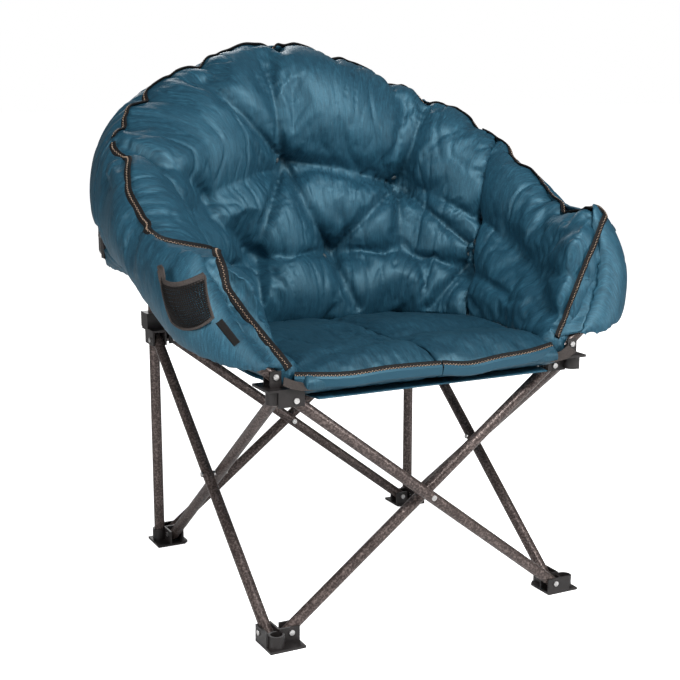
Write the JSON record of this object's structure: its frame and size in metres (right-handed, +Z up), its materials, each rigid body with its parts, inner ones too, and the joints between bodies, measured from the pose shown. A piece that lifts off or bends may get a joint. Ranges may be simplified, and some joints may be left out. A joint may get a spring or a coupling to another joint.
{
  "type": "padded camping chair",
  "caption": "Folding camping chair with a padded bucket seat and crossed tube legs that close to a narrow bundle, with a mesh cup holder on one arm.",
  "frame": {"origin": "middle of the bounding box on the floor, under the feet", "axes": "+Z up, the chair's front faces -Y, +X to the right seen from the front"},
  "size_m": [0.8703, 0.7288, 0.922],
  "materials": {
    "frame_tube": "hammered dark bronze powder coat",
    "rivet": "bright",
    "bracket": "dark zinc plate",
    "fitting": "moulded black",
    "zip": "black tape with a tan coil",
    "mesh": "open black mesh",
    "trim": "black webbing",
    "cover": "teal woven polyester",
    "cushion": "padded teal woven polyester"
  },
  "bodies": {
    "rear_left_post": {"foot_rear_left": "fitting", "foot_rivets_rear_left": "rivet", "post_left": "frame_tube", "post_head_left": "fitting", "side_rail_left": "frame_tube"},
    "rear_right_post": {"foot_rear_right": "fitting", "foot_rivets_rear_right": "rivet", "post_right": "frame_tube", "post_head_right": "fitting", "side_rail_right": "frame_tube"},
    "front_left_foot": {"foot_front_left": "fitting", "foot_rivets_front_left": "rivet"},
    "front_right_foot": {"foot_front_right": "fitting", "foot_rivets_front_right": "rivet"},
    "front_left_hub": {"hub_front_left": "fitting", "hub_rivets_front_left": "rivet"},
    "front_right_hub": {"hub_front_right": "fitting", "hub_rivets_front_right": "rivet"},
    "rear_left_slider": {"slider_rear_left": "fitting", "slider_rivets_rear_left": "rivet", "back_cushion": "cushion", "back_skin": "cover", "back_buttons": "cushion", "rim_zip_back": "zip"},
    "rear_right_slider": {"slider_rear_right": "fitting", "slider_rivets_rear_right": "rivet"},
    "arm_left": {"arm_tube_left": "frame_tube", "arm_cushion_left": "cushion", "arm_skin_left": "cover", "rim_zip_left": "zip", "cup_holder": "mesh", "cup_holder_binding": "trim", "arm_tab": "trim"},
    "arm_right": {"arm_tube_right": "frame_tube", "arm_cushion_right": "cushion", "arm_skin_right": "cover", "rim_zip_right": "zip"},
    "leg_front_inner": {"leg_front_inner": "frame_tube", "cross_rivet_front": "rivet"},
    "leg_front_outer": {"leg_front_outer": "frame_tube"},
    "leg_right_inner": {"leg_right_inner": "frame_tube", "cross_rivet_right": "rivet"},
    "leg_right_outer": {"leg_right_outer": "frame_tube"},
    "leg_back_inner": {"leg_back_inner": "frame_tube", "cross_rivet_back": "rivet"},
    "leg_back_outer": {"leg_back_outer": "frame_tube"},
    "leg_left_inner": {"leg_left_inner": "frame_tube", "cross_rivet_left": "rivet"},
    "leg_left_outer": {"leg_left_outer": "frame_tube"},
    "bow_left": {"bow_left": "frame_tube", "bow_bracket_left": "bracket", "bow_rivets_left": "rivet"},
    "seat_left": {"seat_cushion_left": "cushion", "seat_sling_left": "cover"},
    "bow_right": {"bow_right": "frame_tube", "bow_bracket_right": "bracket", "bow_rivets_right": "rivet"},
    "seat_right": {"seat_cushion_right": "cushion", "seat_sling_right": "cover"}
  },
  "joints": [
    {"name": "fold", "type": "hinge", "parent": "rear_left_post", "child": "leg_left_inner", "pos_m": [-0.2525, 0.182, 0.019], "axis": [-1, 0, 0], "range_deg": [0, 38], "deforming": ["back_cushion", "back_skin", "back_buttons", "rim_zip_back", "arm_cushion_left", "arm_cushion_right", "arm_skin_left", "arm_skin_right", "rim_zip_left", "rim_zip_right", "seat_cushion_left", "seat_cushion_right", "seat_sling_left", "seat_sling_right", "cup_holder", "cup_holder_binding", "arm_tab"]},
    {"name": "front_left_hub_turn", "type": "hinge", "parent": "leg_left_inner", "child": "front_left_hub", "pos_m": [-0.2525, -0.304, 0.396], "axis": [-1, 0, 0], "range_deg": [-38, 0]},
    {"name": "left_cross", "type": "hinge", "parent": "leg_left_inner", "child": "leg_left_outer", "pos_m": [-0.272, -0.061, 0.2075], "axis": [-1, 0, 0], "range_deg": [-76, 0]},
    {"name": "rear_left_slider_turn", "type": "hinge", "parent": "leg_left_outer", "child": "rear_left_slider", "pos_m": [-0.2755, 0.182, 0.396], "axis": [-1, 0, 0], "range_deg": [0, 38]},
    {"name": "front_left_foot_turn", "type": "hinge", "parent": "leg_left_outer", "child": "front_left_foot", "pos_m": [-0.2755, -0.304, 0.019], "axis": [-1, 0, 0], "range_deg": [0, 38]},
    {"name": "back_outer_leg_turn", "type": "hinge", "parent": "rear_left_post", "child": "leg_back_outer", "pos_m": [-0.243, 0.2145, 0.019], "axis": [0, 1, 0], "range_deg": [-38, 0]},
    {"name": "rear_right_slider_turn", "type": "hinge", "parent": "leg_back_outer", "child": "rear_right_slider", "pos_m": [0.243, 0.2145, 0.396], "axis": [0, 1, 0], "range_deg": [0, 38]},
    {"name": "back_cross", "type": "hinge", "parent": "leg_back_outer", "child": "leg_back_inner", "pos_m": [0, 0.211, 0.2075], "axis": [0, 1, 0], "range_deg": [0, 76]},
    {"name": "rear_right_post_turn", "type": "hinge", "parent": "leg_back_inner", "child": "rear_right_post", "pos_m": [0.243, 0.1915, 0.019], "axis": [0, 1, 0], "range_deg": [-38, 0]},
    {"name": "front_inner_leg_turn", "type": "hinge", "parent": "front_left_foot", "child": "leg_front_inner", "pos_m": [-0.243, -0.3135, 0.019], "axis": [0, -1, 0], "range_deg": [0, 38]},
    {"name": "front_right_hub_turn", "type": "hinge", "parent": "leg_front_inner", "child": "front_right_hub", "pos_m": [0.243, -0.3135, 0.396], "axis": [0, -1, 0], "range_deg": [-38, 0]},
    {"name": "front_cross", "type": "hinge", "parent": "leg_front_inner", "child": "leg_front_outer", "pos_m": [0, -0.333, 0.2075], "axis": [0, -1, 0], "range_deg": [-76, 0]},
    {"name": "front_right_foot_turn", "type": "hinge", "parent": "leg_front_outer", "child": "front_right_foot", "pos_m": [0.243, -0.3365, 0.019], "axis": [0, -1, 0], "range_deg": [0, 38]},
    {"name": "right_inner_leg_turn", "type": "hinge", "parent": "front_right_foot", "child": "leg_right_inner", "pos_m": [0.2525, -0.304, 0.019], "axis": [1, 0, 0], "range_deg": [0, 38]},
    {"name": "right_cross", "type": "hinge", "parent": "leg_right_inner", "child": "leg_right_outer", "pos_m": [0.272, -0.061, 0.2075], "axis": [1, 0, 0], "range_deg": [-76, 0]},
    {"name": "arm_left_turn", "type": "hinge", "parent": "front_left_hub", "child": "arm_left", "pos_m": [-0.27, -0.323, 0.432], "axis": [0, 1, 0], "range_deg": [0, 45]},
    {"name": "bow_left_turn", "type": "hinge", "parent": "rear_left_post", "child": "bow_left", "pos_m": [-0.35, 0.23, 0.561], "axis": [0, -1, 0], "range_deg": [0, 26.7]},
    {"name": "seat_left_turn", "type": "hinge", "parent": "rear_left_slider", "child": "seat_left", "pos_m": [-0.236, 0, 0.398], "axis": [0, -1, 0], "range_deg": [0, 75]},
    {"name": "arm_right_turn", "type": "hinge", "parent": "front_right_hub", "child": "arm_right", "pos_m": [0.27, -0.323, 0.432], "axis": [0, -1, 0], "range_deg": [0, 45]},
    {"name": "bow_right_turn", "type": "hinge", "parent": "rear_right_post", "child": "bow_right", "pos_m": [0.35, 0.23, 0.561], "axis": [0, 1, 0], "range_deg": [0, 26.7]},
    {"name": "seat_right_turn", "type": "hinge", "parent": "rear_right_slider", "child": "seat_right", "pos_m": [0.236, 0, 0.398], "axis": [0, 1, 0], "range_deg": [0, 75]}
  ],
  "couplings": [
    {"joint": "front_left_hub_turn", "follows": "fold", "ratio": -1},
    {"joint": "left_cross", "follows": "fold", "ratio": -2},
    {"joint": "rear_left_slider_turn", "follows": "fold", "ratio": 1},
    {"joint": "front_left_foot_turn", "follows": "fold", "ratio": 1},
    {"joint": "back_outer_leg_turn", "follows": "fold", "ratio": -1},
    {"joint": "rear_right_slider_turn", "follows": "fold", "ratio": 1},
    {"joint": "back_cross", "follows": "fold", "ratio": 2},
    {"joint": "rear_right_post_turn", "follows": "fold", "ratio": -1},
    {"joint": "front_inner_leg_turn", "follows": "fold", "ratio": 1},
    {"joint": "front_right_hub_turn", "follows": "fold", "ratio": -1},
    {"joint": "front_cross", "follows": "fold", "ratio": -2},
    {"joint": "front_right_foot_turn", "follows": "fold", "ratio": 1},
    {"joint": "right_inner_leg_turn", "follows": "fold", "ratio": 1},
    {"joint": "right_cross", "follows": "fold", "ratio": -2},
    {"joint": "arm_left_turn", "follows": "fold", "ratio": 1.1842},
    {"joint": "bow_left_turn", "follows": "fold", "ratio": 0.70263},
    {"joint": "seat_left_turn", "follows": "fold", "ratio": 1.9737},
    {"joint": "arm_right_turn", "follows": "fold", "ratio": 1.1842},
    {"joint": "bow_right_turn", "follows": "fold", "ratio": 0.70263},
    {"joint": "seat_right_turn", "follows": "fold", "ratio": 1.9737}
  ]
}
